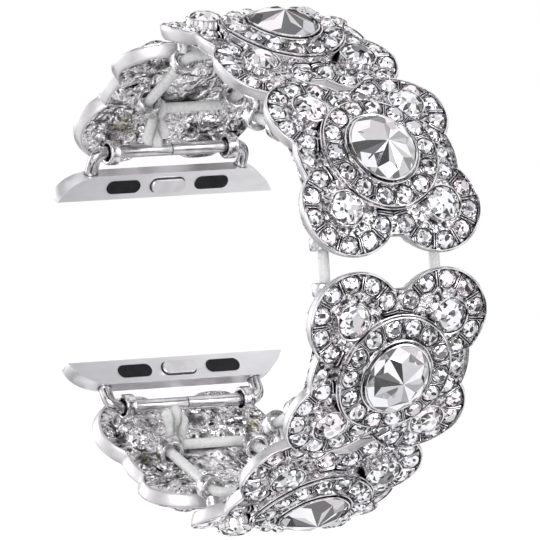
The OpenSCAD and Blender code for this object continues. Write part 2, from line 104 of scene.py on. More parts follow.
# Elastic and eyes
CORD_D = 1.2
EYE_BORE = 1.9
EYE_WALL = 0.5
EYE_LEN = 1.5
EYE_DROP = 4.9
EYE_Y = 6.9
EYE_REACH_SIDE = 10.6
EYE_REACH_FAR = 9.9
EYE_REACH_FRONT = 9.2
END_EYE_DROP = 3.6
END_EYE_Y = 5.4
END_EYE_REACH = 0.4

# Loop of links
FRONT_X = -1.45
FRONT_ANGLE = 30.6
FRONT_GAP = 1.7
SIDE_GAP = 0.3
SIDE_STEP = 2.1
SIDE_BEND = -12.0
END_GAP = 0.8
END_STEP = 1.95
END_BEND = 7.0

# Adapter hinge
HINGE_REACH = 8.1
HINGE_DROP = 4.2
LOOP_Y = 7.5
LOOP_W = 1.3
LOOP_BORE = 1.9
LOOP_WALL = 0.5

# What follows from those sizes
SEAT_R = SMALL_D / 2 + SEAT_GAP
RING_PATH_R = CENTRE_D / 2 + BEZEL_T + ROW_GAP + SMALL_D / 2
RING_OUT_R = RING_PATH_R + SMALL_D / 2 + ROW_GAP
CORNER_R = RING_OUT_R + ROW_GAP / 2 + CORNER_D / 2
CUP_R = CORNER_D / 2 + CUP_T
LOBE_PATH_R = math.hypot(CORNER_AHEAD, CORNER_ASIDE) + CUP_R + ROW_SPARE + SEAT_R
LOBE_R = LOBE_PATH_R + SEAT_R + WALL_GAP + LIP_T

# Form that only this script has. Soft steps of the casting's face: width and height
STEP_W = 0.1
RING_STEP_W = 0.14
LIP_EDGE = LIP_T + 0.08
LIP_TOP = RIM_TOP - 0.03
RING_TOP = RING_H - 0.15
CUP_TOP = CUP_H - CHANNEL_H - 0.1
SEAT_TOP = 0.8
# Distance of the openings beside the corner stones from the ring
WINDOW_OUT = 0.35
# Height of the small stones' girdles in the ring and in the lobes' rows
RING_LIFT = RING_H - 0.03
LOBE_LIFT = -CHANNEL_H + 0.12
# The back: where its side wall starts, how the seats swell out of it, and its cast roughness
WALL_FOOT = 0.3
CENTRE_SWELL = (2, 0.5)
CORNER_SWELL = (1.6, 0.4)
ROUGH_SCALE = 0.8
ROUGH_H = 0.32
ROUGH_LOW, ROUGH_HIGH = -0.35, 0.25
# Points round the outline; distance between points on the face and back, and from their edges
RIM_POINTS = 240
FACE_GRID, FACE_MARGIN = 0.3, 0.2
BACK_GRID, BACK_MARGIN = 0.34, 0.3
# Materials of the casting, by number; the fourth is the painted shade of narrow gaps
POLISHED, ROUGH, WALL, GAP_SHADE, RECESS = range(5)
# Opening in the lug for the lock button, and where the lug's face lies from the hinge
BUTTON_L = 4.2
BUTTON_W = 1.5
BUTTON_Z = -3.95
LUG_TILT = math.radians(30.0)
LUG_FACE = 1.0


def polar(r, angle):
    """A point at radius r in the direction angle, in degrees."""
    return np.array([r * math.cos(math.radians(angle)), r * math.sin(math.radians(angle))])


CORNER_ANGLES = [CORNER_ANGLE, 180 - CORNER_ANGLE, 180 + CORNER_ANGLE, 360 - CORNER_ANGLE]
CORNERS = [polar(CORNER_R, a) for a in CORNER_ANGLES]
LOBES = [c - np.sign(c) * (CORNER_AHEAD, CORNER_ASIDE) for c in CORNERS]
LOBE_SPAN = LOBE_STEP * (LOBE_COUNT - 1) / 2
END_STONES = [LOBES[0] + polar(LOBE_PATH_R, CORNER_ANGLE + side * LOBE_SPAN) for side in SIDES]
BODY_R = max(float(np.linalg.norm(p)) for p in END_STONES) + SEAT_R + WALL_GAP + LIP_T
HALF_LEN = float(LOBES[0][0]) + LOBE_R
HALF_ANGLE = math.degrees(HALF_LEN / CURVE_R)


def next_pose(pose, gap, step, bend):
    """The curve centre and angle of the link after the one at pose."""
    centre, angle = pose
    first = angle + HALF_ANGLE
    second = first + bend
    middle = (first + second) / 2
    start = centre + polar(CURVE_R, first) + polar(gap, middle + 90) - polar(step, middle)
    return start - polar(CURVE_R, second), second + HALF_ANGLE


# The curve centre and angle of each upper link, by its number, from the front to the open end
FRONT_Z = FRONT_GAP / 2 - CURVE_R * math.sin(math.radians(FRONT_ANGLE - HALF_ANGLE))
POSES = {3: (np.array([FRONT_X, FRONT_Z]), FRONT_ANGLE)}
POSES[2] = next_pose(POSES[3], SIDE_GAP, SIDE_STEP, SIDE_BEND)
POSES[1] = next_pose(POSES[2], END_GAP, END_STEP, END_BEND)


def upper_number(i):
    """The upper link whose mirror image link i is, or i itself."""
    return 7 - i if i > 3 else i


def on_link(i, reach, drop):
    """X and Z of a point on an upper link, reach along it from its middle, drop below its face."""
    centre, angle = POSES[i]
    return centre + polar(CURVE_R - drop, angle + math.degrees(reach / CURVE_R))


def mirrored(i, points):
    """Points of an upper piece, put where link i is."""
    points = np.array(points, float).reshape(-1, 3)
    if i > 3:
        points[:, 2] *= -1
    return points


def to_row(i, flat):
    """Points (s, y, h) of link i in the row frame: s along its curve, h above its face."""
    flat = np.asarray(flat, float).reshape(-1, 3)
    centre, angle = POSES[upper_number(i)]
    a = math.radians(angle) - flat[:, 0] / CURVE_R
    r = CURVE_R + flat[:, 2]
    x = centre[0] + r * np.cos(a)
    z = centre[1] + r * np.sin(a)
    return mirrored(i, np.column_stack([x, flat[:, 1], z]))


# Mesh helpers


class Shell:
    """Vertices, faces and the material number of each face, gathered from several parts."""

    def __init__(self):
        self.points = []
        self.faces = []
        self.mats = []

    def add(self, points, faces, mats=0, flip=False):
        """mats is one material number for all the faces, or a list of them."""
        base = len(self.points)
        self.points.extend(tuple(map(float, p)) for p in points)
        for f in faces:
            f = [base + int(k) for k in f]
            self.faces.append(f[::-1] if flip else f)
        self.mats.extend([mats] * len(faces) if isinstance(mats, int) else mats)

    def build(self, name, materials, smooth=True, sharp=None):
        mesh = bpy.data.meshes.new(name)
        mesh.from_pydata([tuple(c * MM for c in p) for p in self.points], [], self.faces)
        for m in materials:
            mesh.materials.append(m)
        mesh.polygons.foreach_set("material_index", self.mats)
        mesh.polygons.foreach_set("use_smooth", [smooth] * len(self.faces))
        mesh.update()
        if sharp is not None:
            mesh.set_sharp_from_angle(angle=math.radians(sharp))
        obj = bpy.data.objects.new(name, mesh)
        bpy.context.scene.collection.objects.link(obj)
        return obj


def grid(rows, count, ring=True, loop=False, turned=False):
    """Faces between rows of count points; ring closes a row and loop joins last to first."""
    faces = []
    for k in range(rows if loop else rows - 1):
        a, b = k * count, (k + 1) % rows * count
        for j in range(count if ring else count - 1):
            i = (j + 1) % count
            faces.append((a + j, b + j, b + i, a + i) if turned else (a + j, a + i, b + i, b + j))
    return faces


def frames_along(path, closed):
    """Normal and binormal at each point of a path, with as little twist as can be."""
    path = np.asarray(path, float)
    n = len(path)
    if closed:
        tangent = np.roll(path, -1, 0) - np.roll(path, 1, 0)
    else:
        tangent = np.gradient(path, axis=0)
    tangent /= np.linalg.norm(tangent, axis=1)[:, None]
    up = np.array([0, 0, 1.0]) if abs(tangent[0][2]) < 0.9 else np.array([1.0, 0, 0])
    normals = []
    normal = up - tangent[0] * (up @ tangent[0])
    for k in range(n):
        normal = normal - tangent[k] * (normal @ tangent[k])
        normal /= np.linalg.norm(normal)
        normals.append(normal)
    normals = np.array(normals)
    binormals = np.cross(tangent, normals)
    if closed:
        twist = math.atan2(normals[0] @ binormals[-1], normals[0] @ normals[-1])
        for k in range(n):
            turn = twist * k / n
            a, b = normals[k].copy(), binormals[k].copy()
            normals[k] = a * math.cos(turn) + b * math.sin(turn)
            binormals[k] = b * math.cos(turn) - a * math.sin(turn)
    return normals, binormals


def tube(path, radius, sides=8, closed=False, flat=1.0):
    """A round tube along a path; radius may be a list, one for each point. Open ends are domed."""
    path = np.asarray(path, float)
    n = len(path)
    radii = np.broadcast_to(np.asarray(radius, float), (n,))
    normals, binormals = frames_along(path, closed)
    turns = np.arange(sides) * 2 * math.pi / sides
    points = [path[k] + radii[k] * (math.cos(t) * normals[k] * flat + math.sin(t) * binormals[k])
              for k in range(n) for t in turns]
    faces = grid(n, sides, loop=closed)
    if not closed:
        for end, before in ((0, 1), (n - 1, n - 2)):
            out = path[end] - path[before]
            points.append(path[end] + out / np.linalg.norm(out) * radii[end] * 0.5)
            for j in range(sides):
                pair = (end * sides + j, end * sides + (j + 1) % sides)
                faces.append((len(points) - 1, *(pair if end else pair[::-1])))
    return points, faces


def circle(r, h, count, centre=(0, 0), turn=0.0):
    """Points round a circle at height h."""
    return [(centre[0] + r * math.cos(t), centre[1] + r * math.sin(t), h)
            for t in np.arange(count) * 2 * math.pi / count + turn]


def outline_distance(points, inset=0.0):
    """How far each point (s, y) is outside the link's outline, below 0 inside it."""
    points = np.asarray(points, float).reshape(-1, 2)
    d = np.linalg.norm(points, axis=1) - BODY_R
    for lobe in LOBES:
        d = np.minimum(d, np.linalg.norm(points - lobe, axis=1) - LOBE_R)
    return d + inset


def outline_loop(inset, count):
    """The link's outline drawn in by inset, as points in order round the link."""
    loop = []
    for t in np.arange(count) * 2 * math.pi / count:
        way = np.array([math.cos(t), math.sin(t)])
        low, high = 4.0, 16.0
        for _ in range(40):
            r = (low + high) / 2
            if outline_distance(way * r, inset)[0] < 0:
                low = r
            else:
                high = r
        loop.append(way * low)
    return np.array(loop)


# Casting


def step_between(d, low, high, width):
    """low where d is below 0 and high past width, with a soft slope between."""
    t = np.clip(d / width, 0, 1)
    return low + (high - low) * t * t * (3 - 2 * t)


# Centre and radius of each opening between the rows of stones
WINDOWS = [(polar(RING_OUT_R + WINDOW_OUT + WINDOW_R, CORNER_ANGLE + turn) * (sx, sy), WINDOW_R)
           for turn in WINDOW_TURNS for sx in SIDES for sy in SIDES]
WINDOWS += [(np.array([0.0, side * SIDE_WINDOW_Y]), SIDE_WINDOW_R) for side in SIDES]


def window_distance(points):
    """How far each point (s, y) is outside the nearest opening, below 0 inside it."""
    points = np.asarray(points, float).reshape(-1, 2)
    return np.min([np.linalg.norm(points - c, axis=1) - r for c, r in WINDOWS], axis=0)


def face_height(points):
    """Height of the casting's front at points (s, y)."""
    points = np.asarray(points, float).reshape(-1, 2)
    r = np.linalg.norm(points, axis=1)
    h = step_between(outline_distance(points) + LIP_EDGE, -CHANNEL_H, LIP_TOP, STEP_W)
    h = np.maximum(h, step_between(RING_OUT_R - r, -CHANNEL_H, RING_TOP, RING_STEP_W))
    for corner in CORNERS:
        away = np.linalg.norm(points - corner, axis=1)
        h = np.maximum(h, step_between(CUP_R - away, -CHANNEL_H, CUP_TOP, STEP_W))
    inside = CENTRE_D / 2 + BEZEL_T - r
    return np.where(inside > 0, np.maximum(h, step_between(inside, h, SEAT_TOP, STEP_W)), h)


def swelling(h, away, radius, low, soft, bulge):
    """Heights of the back, lowered where a stone's seat swells out of it."""
    dome = np.sqrt(np.clip(1 - (away / radius) ** 2, 0, 1))
    return np.minimum(h, -PLATE_T - (low - PLATE_T) * np.minimum(1, soft * dome) - bulge * dome)


def back_height(points):
    """Height of the casting's hollow back at points (s, y)."""
    points = np.asarray(points, float).reshape(-1, 2)
    h = step_between(outline_distance(points) + WALL_T, -PLATE_T, -WALL_H, WALL_FOOT)
    away = np.linalg.norm(points, axis=1)
    h = swelling(h, away, CENTRE_D / 2 + BEZEL_T, CENTRE_BACK, *CENTRE_SWELL)
    for corner in CORNERS:
        away = np.linalg.norm(points - corner, axis=1)
        h = swelling(h, away, CUP_R, CORNER_BACK, *CORNER_SWELL)
    return h


def lattice(spacing, margin, keep_out):
    """Points of a triangular lattice inside the outline, clear of its edge and of the openings."""
    count = int((BODY_R + 4) / spacing)
    span = range(-count, count + 1)
    rows = np.array([((i + (j % 2) / 2) * spacing, j * spacing * math.sqrt(3) / 2)
                     for j in span for i in span])
    good = (outline_distance(rows) < -margin) & (window_distance(rows) > margin)
    for c, r in keep_out:
        good &= np.abs(np.linalg.norm(rows - c, axis=1) - r) > spacing * 0.5
    return rows[good]


def triangulate(loops, inner):
    """Triangles inside the link's outline and outside its openings, along the loops' edges."""
    points, edges = [], []
    for loop in loops:
        base = len(points)
        points.extend(tuple(map(float, p)) for p in loop)
        edges.extend((base + k, base + (k + 1) % len(loop)) for k in range(len(loop)))
    points.extend(tuple(map(float, p)) for p in inner)
    made = geometry.delaunay_2d_cdt([Vector(p) for p in points], edges, [], 0, 1e-7)
    verts = np.array([tuple(v) for v in made[0]])
    tris = np.array([tuple(f) for f in made[2]])
    middle = verts[tris].mean(1)
    tris = tris[(outline_distance(middle) < 0.0) & (window_distance(middle) > 0)]
    a, b, c = verts[tris[:, 0]], verts[tris[:, 1]], verts[tris[:, 2]]
    area = (b[:, 0] - a[:, 0]) * (c[:, 1] - a[:, 1]) - (c[:, 0] - a[:, 0]) * (b[:, 1] - a[:, 1])
    tris[area < 0] = tris[area < 0][:, ::-1]
    return verts, tris[np.abs(area) > 1e-9]


def round_loop(c, r, count):
    return np.array([c + polar(r, 360 * k / count) for k in range(count)])


WINDOW_LOOPS = [round_loop(c, r, 24) for c, r in WINDOWS]
# Circles that the face's points follow
FEATURES = [(np.zeros(2), RING_OUT_R), (np.zeros(2), RING_OUT_R - RING_STEP_W),
            (np.zeros(2), CENTRE_D / 2 + BEZEL_T)]
FEATURES += [(c, CUP_R) for c in CORNERS] + [(c, CUP_R - STEP_W) for c in CORNERS]
# The rounded side wall: how far in from the outline and how high each ring of points lies
WALL_RINGS = [(0.14, RIM_TOP - 0.02), (0.06, RIM_TOP - 0.05), (0.015, RIM_TOP - 0.12),
              (0.0, RIM_TOP - 0.28), (0.04, -1.15), (0.11, -1.45), (0.19, -1.75), (0.27, -1.98),
              (0.34, -2.1), (0.41, -2.17), (0.48, -WALL_H)]


def feature_loops():
    """The circles and the lip's inner edge, as points, where they are clear of the openings."""
    loops = [round_loop(c, r, int(2 * math.pi * r / FACE_GRID)) for c, r in FEATURES]
    loops += [outline_loop(LIP_EDGE, 220), outline_loop(LIP_T - 0.02, 220)]
    return [loop for loop in loops if (window_distance(loop) > 0.02).all()]


def add_face(shell, rim):
    """The casting's front: polished, with a marked floor between the stones."""
    points, tris = triangulate([rim, *WINDOW_LOOPS, *feature_loops()],
                               lattice(FACE_GRID, FACE_MARGIN, FEATURES))
    inset, edge_h = WALL_RINGS[0]
    h = np.where(outline_distance(points) < -inset - 0.001, face_height(points), edge_h)
    tris = tris[outline_distance(points[tris].mean(1)) < -inset]
    middle, level = points[tris].mean(1), h[tris].mean(1)
    ring_top = ((np.linalg.norm(middle, axis=1) < RING_OUT_R - RING_STEP_W)
                & (np.abs(level - RING_TOP) < 0.05))
    floor = (level < -CHANNEL_H + 0.06) | ring_top
    shell.add(np.column_stack([points, h]), tris, [RECESS if low else POLISHED for low in floor])


def add_back(shell, rim):
    """The casting's back, rough as it was cast."""
    points, tris = triangulate([rim, *WINDOW_LOOPS, outline_loop(WALL_T, 200)],
                               lattice(BACK_GRID, BACK_MARGIN, []))
    out = outline_distance(points)
    tris = tris[outline_distance(points[tris].mean(1)) < -0.2]
    rough = np.array([noise.fractal(Vector((x * ROUGH_SCALE, y * ROUGH_SCALE, 3.7)), 0.8, 2.1, 4)
                      for x, y in points])
    deep = np.clip((-out - WALL_T) / 0.4, 0, 1)
    h = back_height(points) + np.clip(ROUGH_H * rough, ROUGH_LOW, ROUGH_HIGH) * deep
    shell.add(np.column_stack([points, h]), tris, ROUGH, flip=True)


def casting_shell():
    """The casting in link coordinates (s, y, h)."""
    shell = Shell()
    rims = [outline_loop(inset, RIM_POINTS) for inset, _ in WALL_RINGS]
    add_face(shell, rims[0])
    add_back(shell, rims[-1])
    wall = [(p[0], p[1], h) for rim, (_, h) in zip(rims, WALL_RINGS) for p in rim]
    shell.add(wall, grid(len(rims), RIM_POINTS, turned=True), WALL)
    for loop in WINDOW_LOOPS:
        points = [(p[0], p[1], h) for height in (face_height, back_height)
                  for p, h in zip(loop, height(loop))]
        shell.add(points, grid(2, len(loop)))
    add_trim(shell)
    return shell


# A ridge's cross-section (aside, up), and how high it stands along its length
RIDGE_SECTION = [(-1.0, -0.1), (-0.9, 0.55), (-0.45, 0.93), (0.0, 1.0), (0.45, 0.93), (0.9, 0.55),
                 (1.0, -0.1)]
RIDGE_RISE = [(0.0, 0.25), (0.06, 0.8), (0.14, 1.0), (0.86, 1.0), (0.94, 0.8), (1.0, 0.25)]


def bar(shell, a, b, h, width, height):
    """A thin raised ridge from a to b on the face, its foot at height h."""
    along = (b - a) / np.linalg.norm(b - a)
    across = np.array([-along[1], along[0]]) * width / 2
    points = [(*(a + (b - a) * t + across * u), h + v * height * lift)
              for t, lift in RIDGE_RISE for u, v in RIDGE_SECTION]
    n, last = len(RIDGE_SECTION), len(points) - 1
    faces = grid(len(RIDGE_RISE), n, ring=False, turned=True)
    faces += [tuple(range(n)), tuple(range(last, last - n, -1))]
    shell.add(points, faces, flip=True)


# Ridges beside the stones of the ring and of a lobe: where they start and end along the stones'
# direction, the height of their foot, how high they rise, half their spacing and their width
RING_RIDGE = (RING_PATH_R - 0.75, RING_PATH_R + 1.1, RING_H - 0.2, 0.26, 0.09, 0.12)
LOBE_RIDGE = (LOBE_PATH_R - 0.95, LOBE_PATH_R + 1.02, -CHANNEL_H - 0.05, 0.42, 0.13, 0.15)


def ridge_pair(shell, centre, angle, near, far, foot, height, spread, width):
    """Two ridges side by side between neighbouring stones, pointing away from centre."""
    way = polar(1, angle)
    for s in SIDES:
        start = centre + np.array([-way[1], way[0]]) * spread * s
        bar(shell, start + way * near, start + way * far, foot, width, height)


def wire(shell, loop, radius):
    shell.add(*tube(loop, radius, 6, closed=True))


# Seats of the small stones: place, direction from the middle of the ring or lobe, and lift
SMALL_SEATS = []
for k in range(RING_COUNT):
    a = (k + 0.5) * 360 / RING_COUNT
    SMALL_SEATS.append((polar(RING_PATH_R, a), a, RING_LIFT))
for lobe, middle in zip(LOBES, CORNER_ANGLES):
    for k in range(LOBE_COUNT):
        a = middle + (k - (LOBE_COUNT - 1) / 2) * LOBE_STEP
        SMALL_SEATS.append((lobe + polar(LOBE_PATH_R, a), a, LOBE_LIFT))

# Wires of the bezel and the ring: radius, height, points round it and thickness
WIRES = [(CENTRE_D / 2 - 0.08, BEZEL_TOP - 0.06, 72, 0.13),
         (CENTRE_D / 2 + 0.3, BEZEL_TOP - 0.3, 72, 0.1),
         (RING_OUT_R - 0.1, RING_H - 0.1, 96, 0.1),
         (RING_OUT_R + 0.12, RING_H - 0.42, 96, 0.09)]
CORNER_WIRE = (CORNER_D / 2 + 0.09, CUP_H - CHANNEL_H + 0.02, 40, 0.1)
# The bead on the lip: how far in from the outline it lies, its height and its thickness
BEAD_INSET, BEAD_H, BEAD_T = LIP_T * 0.62, RIM_TOP - 0.05, 0.11
# From a stone outwards: the gap beside its girdle, painted dark as shade, and then the bright rim
# of its seat
SEAT_PROFILE = [(0.96, -0.08), (1.085, -0.10), (1.10, -0.02), (1.13, 0.02), (1.17, -0.01),
                (1.2, -0.16)]
SEAT_MATS = [GAP_SHADE, GAP_SHADE, POLISHED, POLISHED, POLISHED]


def seat_rim(shell, place, lift, sides=28):
    """The edge of a small stone's seat: a gap painted dark as shade and a thin bright rim."""
    points = [(*(place + polar(r, 360 * k / sides)), lift + h)
              for r, h in SEAT_PROFILE for k in range(sides)]
    mats = [mat for mat in SEAT_MATS for _ in range(sides)]
    shell.add(points, grid(len(SEAT_PROFILE), sides, turned=True), mats)


def add_trim(shell):
    """The fine cast detail of the face: wires, ridges, rims and a bead on the lip."""
    places = [((0, 0), sizes) for sizes in WIRES] + [(corner, CORNER_WIRE) for corner in CORNERS]
    for place, (r, h, count, thick) in places:
        wire(shell, circle(r, h, count, place), thick)
    lip = outline_loop(BEAD_INSET, RIM_POINTS)
    wire(shell, np.column_stack([lip, np.full(len(lip), BEAD_H)]), BEAD_T)
    for k in range(RING_COUNT):
        ridge_pair(shell, np.zeros(2), k * 360 / RING_COUNT, *RING_RIDGE)
    for lobe, a in zip(LOBES, CORNER_ANGLES):
        for k in range(LOBE_COUNT + 1):
            ridge_pair(shell, lobe, a + (k - LOBE_COUNT / 2) * LOBE_STEP, *LOBE_RIDGE)
    for place, _, lift in SMALL_SEATS:
        seat_rim(shell, place, lift)


# Stones


def cut_stone(d, sides, crown, girdle, depth, culet, kite, table, pointed=False):
    """A round stone, the top of its girdle at height 0: points, faces, and which are on the crown.

    kite and table place the crown's two rings of corners: a share of the stone's radius and of
    the crown's height. The facets of a pointed stone meet in the middle, above and below.
    """
    r, n = d / 2, 2 * sides
    points = circle(r, 0.0, n) + circle(r, -girdle, n)
    points += circle(r * kite[0], crown * kite[1], sides)
    points += circle(r * table[0], crown * table[1], sides, turn=math.pi / sides)
    points += circle(r * culet, -girdle - depth, sides)
    points += [(0, 0, crown), (0, 0, -girdle - depth * 1.15)] if pointed else []
    kite0, table0, low0 = 2 * n, 2 * n + sides, 2 * n + 2 * sides
    top, tip = low0 + sides, low0 + sides + 1
    faces, on_crown = [], []
    for k in range(sides):
        nxt = (k + 1) % sides
        a, b, c = 2 * k, 2 * k + 1, (2 * k + 2) % n
        upper = [(a, b, kite0 + k), (b, c, kite0 + nxt), (b, kite0 + nxt, table0 + k, kite0 + k)]
        lower = [(n + b, b, a, n + a), (n + c, c, b, n + b), (n + b, n + a, low0 + k),
                 (n + b, low0 + k, low0 + nxt), (n + c, n + b, low0 + nxt)]
        if pointed:
            upper += [(kite0 + k, table0 + k, top), (kite0 + nxt, top, table0 + k)]
            lower.append((low0 + k, tip, low0 + nxt))
        else:
            upper.append((kite0 + k, table0 + k, table0 + (k - 1) % sides))
        faces += upper + lower
        on_crown += [True] * len(upper) + [False] * len(lower)
    if not pointed:
        faces += [tuple(range(table0, table0 + sides)), tuple(range(low0, low0 + sides))[::-1]]
        on_crown += [True, False]
    return points, faces, on_crown


# Each kind of stone: its cut, its seats (place, direction and lift), how far it may be turned in
# its seat, its seed (so much for each link, and a start), and the shares of bright, grey and dark
# facets on its crown, which are painted reflections
STONES = {
    "centre_stone": (cut_stone(CENTRE_D - 0.04, 8, 1.5, 0.12, 1.7, 0.5, (0.82, 0.30), (0.6, 0.62),
                               pointed=True),
                     [((0, 0), 11.25, 0.94)], 0.0, (1, 3), (6, 2.5, 2)),
    "corner_stones": (cut_stone(CORNER_D - 0.06, 10, 0.72, 0.08, 1.1, 0.1, (0.82, 0.58), (0.5, 1)),
                      [(p, a, 0.08) for p, a in zip(CORNERS, CORNER_ANGLES)],
                      0.3, (100, 6), (6, 3, 1.5)),
    "small_stones": (cut_stone(SMALL_D, 8, 0.45, 0.06, 0.55, 0.12, (0.78, 0.58), (0.5, 1)),
                     SMALL_SEATS, 0.4, (100, 5), (7, 2.6, 0.9)),
}
STONE_TILT = 0.05


def stones_on(i, cut, seats, loose, seed, weights):
    """The stones of one kind on link i, each upright on the curve under its own middle."""
    upper = upper_number(i)
    rng = random.Random(seed[0] * upper + seed[1])
    centre, angle = POSES[upper]
    points, faces, on_crown = cut
    shell = Shell()
    for (s, y), direction, lift in seats:
        turn = math.radians(direction) + (rng.uniform(-loose, loose) if loose else 0)
        lean = (Matrix.Rotation(rng.uniform(-STONE_TILT, STONE_TILT), 3, "X")
                @ Matrix.Rotation(rng.uniform(-STONE_TILT, STONE_TILT), 3, "Y"))
        placed = np.array(points, float) @ np.array(lean @ Matrix.Rotation(turn, 3, "Z")).T
        a = math.radians(angle) - s / CURVE_R
        out = np.array([math.cos(a), math.sin(a)])
        along = np.array([math.sin(a), -math.cos(a)])
        xz = centre + np.outer(CURVE_R + lift + placed[:, 2], out) + np.outer(placed[:, 0], along)
        # A crown facet is painted bright, grey or dark as a reflection, materials 0 to 2; the
        # foiled underside is 3
        mats = [rng.choices((0, 1, 2), weights)[0] if crown else 3 for crown in on_crown]
        shell.add(mirrored(i, np.column_stack([xz[:, 0], y + placed[:, 1], xz[:, 1]])), faces,
                  mats, flip=i > 3)
    return shell


# Eyes, posts and hinge loops, in upper X and Z


def heading(a, b):
    """The direction from a to b."""
    d = np.asarray(b, float) - np.asarray(a, float)
    return d / np.linalg.norm(d)


def ring_eye(shell, centre, axis, bore, wall, length, mat):
    """A short tube with rounded ends: an eye or a hinge loop."""
    axis = np.asarray(axis, float) / np.linalg.norm(axis)
    helper = np.array([0, 1.0, 0]) if abs(axis[1]) < 0.9 else np.array([1.0, 0, 0])
    u = np.cross(axis, helper)
    u /= np.linalg.norm(u)
    v = np.cross(axis, u)
    inner, outer, half = bore / 2, bore / 2 + wall, length / 2
    soft = min(wall, half) * 0.45
    profile = []
    for cx, cy, start in ((outer - soft, half - soft, 0), (inner + soft, half - soft, 90),
                          (inner + soft, -half + soft, 180), (outer - soft, -half + soft, 270)):
        for t in (0, 30, 60, 90):
            a = math.radians(start + t)
            profile.append((cx + soft * math.cos(a), cy + soft * math.sin(a)))
    sides = 32
    points = []
    for k in range(sides):
        t = 2 * math.pi * k / sides
        way = u * math.cos(t) + v * math.sin(t)
        points.extend(np.asarray(centre) + way * r + axis * h for r, h in profile)
    shell.add(points, grid(sides, len(profile), loop=True), mat)


def flared_post(shell, start, end, thin, wide, mat):
    """A post from an eye to the casting's back, wider at its foot."""
    start, end = np.asarray(start, float), np.asarray(end, float)
    steps = np.linspace(0, 1, 9)
    path = [start + (end - start) * t for t in steps]
    shell.add(*tube(path, [thin + (wide - thin) * t ** 3 for t in steps], 16), mat)


# The upper links' eyes, named by link and end: reach along the link, drop, distance aside, and how
# far along from the eye its post stands
EYE_SEATS = {
    "1_low": (-END_EYE_REACH, END_EYE_DROP, END_EYE_Y, 0.0),
    "2_low": (-EYE_REACH_SIDE, EYE_DROP, EYE_Y, 0.6),
    "2_high": (EYE_REACH_FAR, EYE_DROP, EYE_Y, -0.6),
    "3_low": (-EYE_REACH_FRONT, EYE_DROP, EYE_Y, 0.0),
    "3_high": (EYE_REACH_FRONT, EYE_DROP, EYE_Y, 0.0),
}
EYES = {key: (on_link(int(key[0]), reach, drop), y)
        for key, (reach, drop, y, _) in EYE_SEATS.items()}
POST_ROOTS = {key: on_link(int(key[0]), reach + foot, PLATE_T)
              for key, (reach, _, _, foot) in EYE_SEATS.items()}
HEADS = {"3_low": np.array([0.0, 1.0])}
for high, low in (("2_high", "1_low"), ("3_high", "2_low")):
    HEADS[high] = HEADS[low] = heading(EYES[high][0], EYES[low][0])
HINGE = on_link(1, HINGE_REACH, HINGE_DROP)
# Of an eye and of a hinge loop: bore, wall and length, how far outside the bore its post starts,
# the post's radius at its foot, and the number of the material
EYE_FORM = (EYE_BORE, EYE_WALL, EYE_LEN, 0.12, 1.15, 0)
LOOP_FORM = (LOOP_BORE, LOOP_WALL, LOOP_W, 0.1, 1.0, 1)


def eye_pair(shell, place, aside, axis, root, form):
    """Two eyes or hinge loops, one on each side, and their posts."""
    bore, wall, length, lead, wide, mat = form
    start = place + heading(place, root) * (bore / 2 + lead)
    for y in (-aside, aside):
        ring_eye(shell, (place[0], y, place[1]), axis, bore, wall, length, mat)
        flared_post(shell, (start[0], y, start[1]), (root[0], y, root[1]), length / 2, wide, mat)


def eyes_of(i):
    """The eyes and hinge loops of an upper link, and their posts."""
    shell = Shell()
    for key, (place, aside) in EYES.items():
        if int(key[0]) == i:
            x, z = HEADS[key]
            eye_pair(shell, place, aside, (x, 0, z), POST_ROOTS[key], EYE_FORM)
    if i == 1:
        root = on_link(1, HINGE_REACH, PLATE_T)
        eye_pair(shell, HINGE, LOOP_Y, (0, 1, 0), root, LOOP_FORM)
    return shell


# Elastic


def turn_between(u, v):
    """The angle between two directions."""
    return math.acos(max(-1, min(1, float(u @ v))))


def rounded_loop(corners, bend, step=0.25):
    """Points along a closed outline with rounded corners."""
    corners = [np.asarray(c, float) for c in corners]
    n = len(corners)
    path = []
    for k in range(n):
        a, b, d, e = corners[k - 1], corners[k], corners[(k + 1) % n], corners[(k + 2) % n]
        u, v = heading(a, b), heading(b, d)
        turn = turn_between(u, v)
        back = bend * math.tan(turn / 2)
        first, last = b - u * back, b + v * back
        centre = b + heading(b, (first + last) / 2) * bend / math.cos(turn / 2)
        x, y = first - centre, last - centre
        for t in np.linspace(0, 1, 9):
            arc = x * math.sin((1 - t) * turn) + y * math.sin(t * turn)
            path.append(centre + arc / math.sin(turn))
        stop = d - v * (bend * math.tan(turn_between(v, heading(d, e)) / 2))
        count = max(2, int(float(np.linalg.norm(stop - last)) / step))
        path.extend(last + (stop - last) * t / count for t in range(1, count))
    return path


def elastic_route(low_key, high_key):
    """The closed route of one elastic loop through two pairs of eyes, in the upper half."""
    p, yp = EYES[high_key]
    q, yq = EYES[low_key]
    reach = float(np.linalg.norm(q - p))
    head = (q - p) / reach
    over = EYE_LEN / 2 + CORD_D
    slope = (yq - yp) / reach
    y0, y1 = yp - slope * over, yq + slope * over
    a, b = p - head * over, q + head * over
    return [(a[0], -y0, a[1]), (b[0], -y1, b[1]), (b[0], y1, b[1]), (a[0], y0, a[1])]


def elastic_shell(corners, seed):
    """One loop of elastic: nearly round and a little uneven, as stretched clear cord is."""
    path = np.array(rounded_loop(corners, CORD_D))
    uneven = [noise.noise(Vector((seed, k * 0.09, 0))) for k in range(len(path))]
    radii = [CORD_D / 2 * (0.97 + 0.03 * max(-1, min(1, v))) for v in uneven]
    shell = Shell()
    shell.add(*tube(path, radii, 14, closed=True))
    return shell


# A knot's wraps (place along the strand, and lean), its place across the band, and its tails
# (place, spread, length and width)
KNOT_WRAPS = ((-0.42, 0.35), (0.38, -0.3))
WRAP_R = 0.72
WRAP_THICK = 0.42
KNOT_Y = -3.5
KNOT_TAILS = ((-0.35, -0.85, 3.3, 0.74), (0.1, 0.05, 3.8, 0.62), (0.45, 0.75, 2.7, 0.7))


